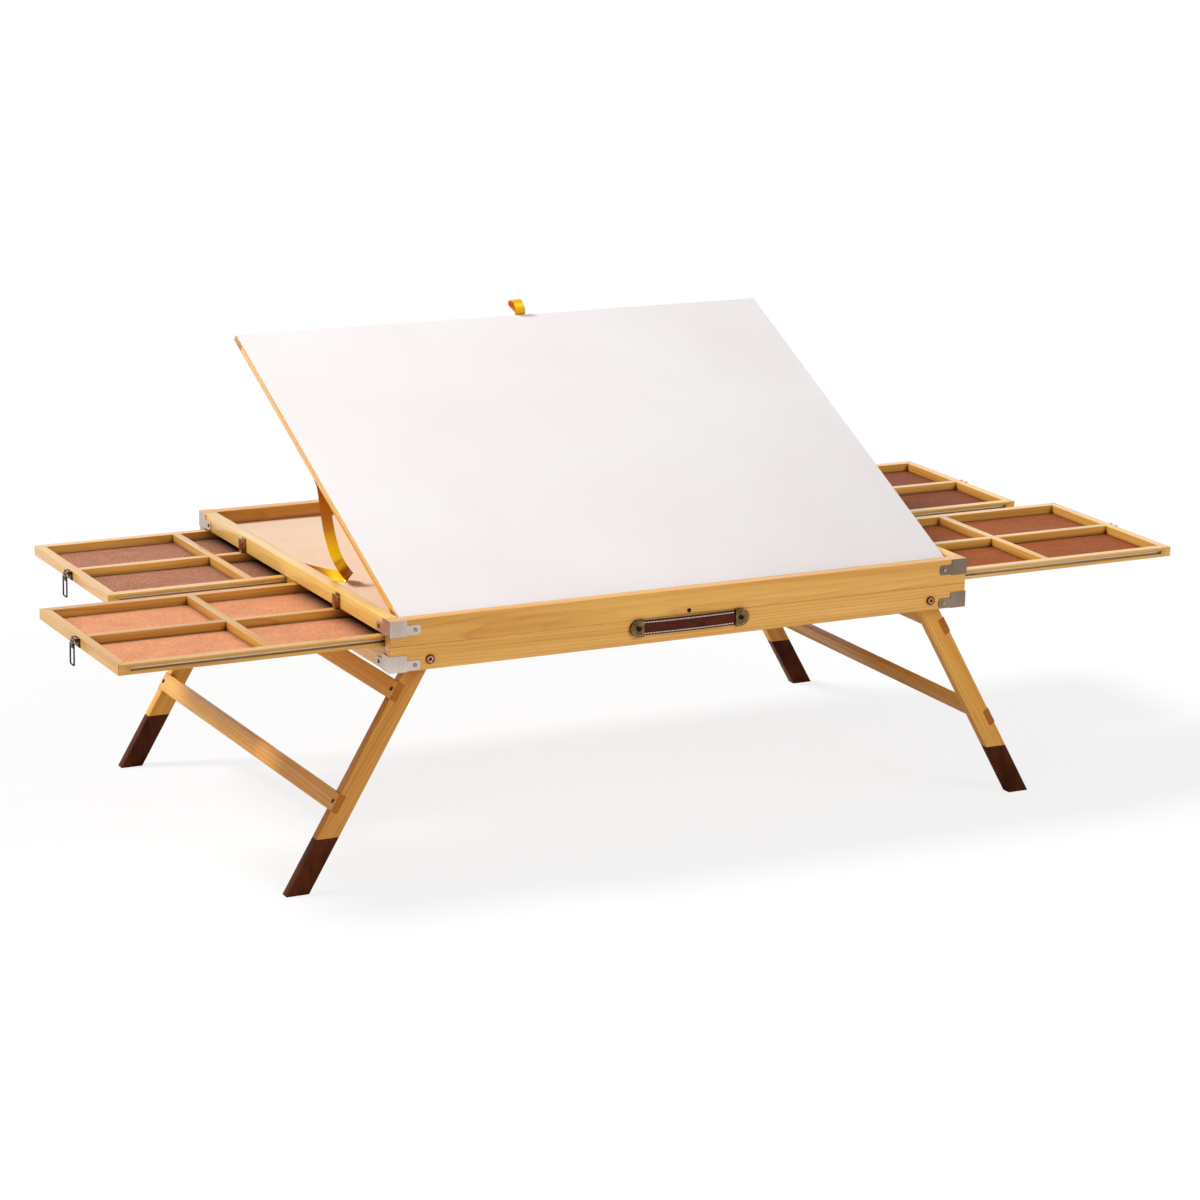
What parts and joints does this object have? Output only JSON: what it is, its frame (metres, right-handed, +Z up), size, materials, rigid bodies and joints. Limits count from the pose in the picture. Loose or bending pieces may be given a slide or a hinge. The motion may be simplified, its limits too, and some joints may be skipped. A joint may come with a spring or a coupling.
{
  "type": "jigsaw puzzle table",
  "caption": "Low folding puzzle table: shallow pine box on two splayed folding leg pairs, tilting white board with prop, sideways sorting drawers with dividers and latches, leather handle.",
  "frame": {"origin": "on the floor under the middle of the frame", "axes": "+X to the right along the front, +Y to the back, +Z up"},
  "size_m": [1.6096, 0.6689, 0.648],
  "materials": {
    "pine": "clear satin varnish over pine",
    "floor_ply": "pale plywood",
    "red_hardboard": "reddish brown hardboard",
    "white_sheet": "white laminate over thin hardboard",
    "grey_steel": "grey plated steel",
    "strip_metal": "light metal strip",
    "bronze": "dark bronze plating",
    "antique_brass": "antique brass plating",
    "leather": "brown leather with white stitches",
    "ribbon": "yellow satin ribbon"
  },
  "bodies": {
    "frame": {"front_apron": "pine", "rear_apron": "pine", "left_upper_rail": "pine", "right_upper_rail": "pine", "left_lower_rail": "pine", "right_lower_rail": "pine", "inner_beams": "pine", "box_floor": "floor_ply", "drawer_runners": "strip_metal", "corner_brackets": "grey_steel", "frame_screws": "grey_steel", "leg_bolts": "bronze", "leg_stop_blocks": "pine", "handle_strap": "leather", "handle_caps": "antique_brass", "handle_screws": "antique_brass", "latch_catches": "bronze", "prop_guides": "grey_steel", "board_pivot_pins": "grey_steel", "left_stay_ribbon": "ribbon", "right_stay_ribbon": "ribbon"},
    "left_legs": {"left_front_leg": "pine", "left_rear_leg": "pine", "left_stretchers": "pine", "left_stretcher_screws": "bronze"},
    "right_legs": {"right_front_leg": "pine", "right_rear_leg": "pine", "right_stretchers": "pine", "right_stretcher_screws": "bronze"},
    "board": {"board_rails": "pine", "board_infill": "floor_ply", "board_sheet": "white_sheet", "board_prop_blocks": "pine", "pull_ribbon": "ribbon"},
    "prop": {"prop_arms": "pine", "prop_rods": "grey_steel"},
    "front_left_drawer": {"front_left_drawer_frame": "pine", "front_left_drawer_bottom": "red_hardboard", "front_left_drawer_slides": "strip_metal", "front_left_drawer_latch_plate": "bronze"},
    "front_left_lever": {"front_left_drawer_latch_lever": "bronze"},
    "front_left_bail": {"front_left_drawer_latch_bail": "bronze"},
    "rear_left_drawer": {"rear_left_drawer_frame": "pine", "rear_left_drawer_bottom": "red_hardboard", "rear_left_drawer_slides": "strip_metal", "rear_left_drawer_latch_plate": "bronze"},
    "rear_left_lever": {"rear_left_drawer_latch_lever": "bronze"},
    "rear_left_bail": {"rear_left_drawer_latch_bail": "bronze"},
    "front_right_drawer": {"front_right_drawer_frame": "pine", "front_right_drawer_bottom": "red_hardboard", "front_right_drawer_slides": "strip_metal", "front_right_drawer_latch_plate": "bronze"},
    "front_right_lever": {"front_right_drawer_latch_lever": "bronze"},
    "front_right_bail": {"front_right_drawer_latch_bail": "bronze"},
    "rear_right_drawer": {"rear_right_drawer_frame": "pine", "rear_right_drawer_bottom": "red_hardboard", "rear_right_drawer_slides": "strip_metal", "rear_right_drawer_latch_plate": "bronze"},
    "rear_right_lever": {"rear_right_drawer_latch_lever": "bronze"},
    "rear_right_bail": {"rear_right_drawer_latch_bail": "bronze"}
  },
  "joints": [
    {"name": "left_legs_fold", "type": "hinge", "parent": "frame", "child": "left_legs", "pos_m": [-0.3793, 0, 0.3034], "axis": [0, -1, 0], "range_deg": [0, 120]},
    {"name": "right_legs_fold", "type": "hinge", "parent": "frame", "child": "right_legs", "pos_m": [0.3793, 0, 0.3034], "axis": [0, 1, 0], "range_deg": [0, 120]},
    {"name": "board_tilt", "type": "hinge", "parent": "frame", "child": "board", "pos_m": [0, -0.3038, 0.3525], "axis": [1, 0, 0], "range_deg": [-26.1, 0], "deforming": ["left_stay_ribbon", "right_stay_ribbon"]},
    {"name": "prop_fold", "type": "hinge", "parent": "board", "child": "prop", "pos_m": [0, -0.04847, 0.46868], "axis": [1, 0, 0], "range_deg": [0, 52.2]},
    {"name": "front_left_drawer_slide", "type": "slide", "parent": "frame", "child": "front_left_drawer", "axis": [1, 0, 0], "range_m": [0, 0.3601]},
    {"name": "front_left_lever_turn", "type": "hinge", "parent": "front_left_drawer", "child": "front_left_lever", "pos_m": [-0.79869, -0.163, 0.3322], "axis": [0, 1, 0], "range_deg": [0, 60]},
    {"name": "front_left_bail_swing", "type": "hinge", "parent": "front_left_lever", "child": "front_left_bail", "pos_m": [-0.80289, -0.163, 0.3267], "axis": [0, 1, 0], "range_deg": [0, 105]},
    {"name": "rear_left_drawer_slide", "type": "slide", "parent": "frame", "child": "rear_left_drawer", "axis": [1, 0, 0], "range_m": [-0.1059, 0.2542]},
    {"name": "rear_left_lever_turn", "type": "hinge", "parent": "rear_left_drawer", "child": "rear_left_lever", "pos_m": [-0.6928, 0.163, 0.3322], "axis": [0, 1, 0], "range_deg": [0, 60]},
    {"name": "rear_left_bail_swing", "type": "hinge", "parent": "rear_left_lever", "child": "rear_left_bail", "pos_m": [-0.697, 0.163, 0.3267], "axis": [0, 1, 0], "range_deg": [0, 105]},
    {"name": "front_right_drawer_slide", "type": "slide", "parent": "frame", "child": "front_right_drawer", "axis": [-1, 0, 0], "range_m": [0, 0.3601]},
    {"name": "front_right_lever_turn", "type": "hinge", "parent": "front_right_drawer", "child": "front_right_lever", "pos_m": [0.79869, -0.163, 0.3322], "axis": [0, -1, 0], "range_deg": [0, 60]},
    {"name": "front_right_bail_swing", "type": "hinge", "parent": "front_right_lever", "child": "front_right_bail", "pos_m": [0.80289, -0.163, 0.3267], "axis": [0, -1, 0], "range_deg": [0, 105]},
    {"name": "rear_right_drawer_slide", "type": "slide", "parent": "frame", "child": "rear_right_drawer", "axis": [-1, 0, 0], "range_m": [-0.0503, 0.3098]},
    {"name": "rear_right_lever_turn", "type": "hinge", "parent": "rear_right_drawer", "child": "rear_right_lever", "pos_m": [0.74842, 0.163, 0.3322], "axis": [0, -1, 0], "range_deg": [0, 60]},
    {"name": "rear_right_bail_swing", "type": "hinge", "parent": "rear_right_lever", "child": "rear_right_bail", "pos_m": [0.75262, 0.163, 0.3267], "axis": [0, -1, 0], "range_deg": [0, 105]}
  ],
  "couplings": [
    {"joint": "prop_fold", "follows": "board_tilt", "ratio": -2}
  ]
}
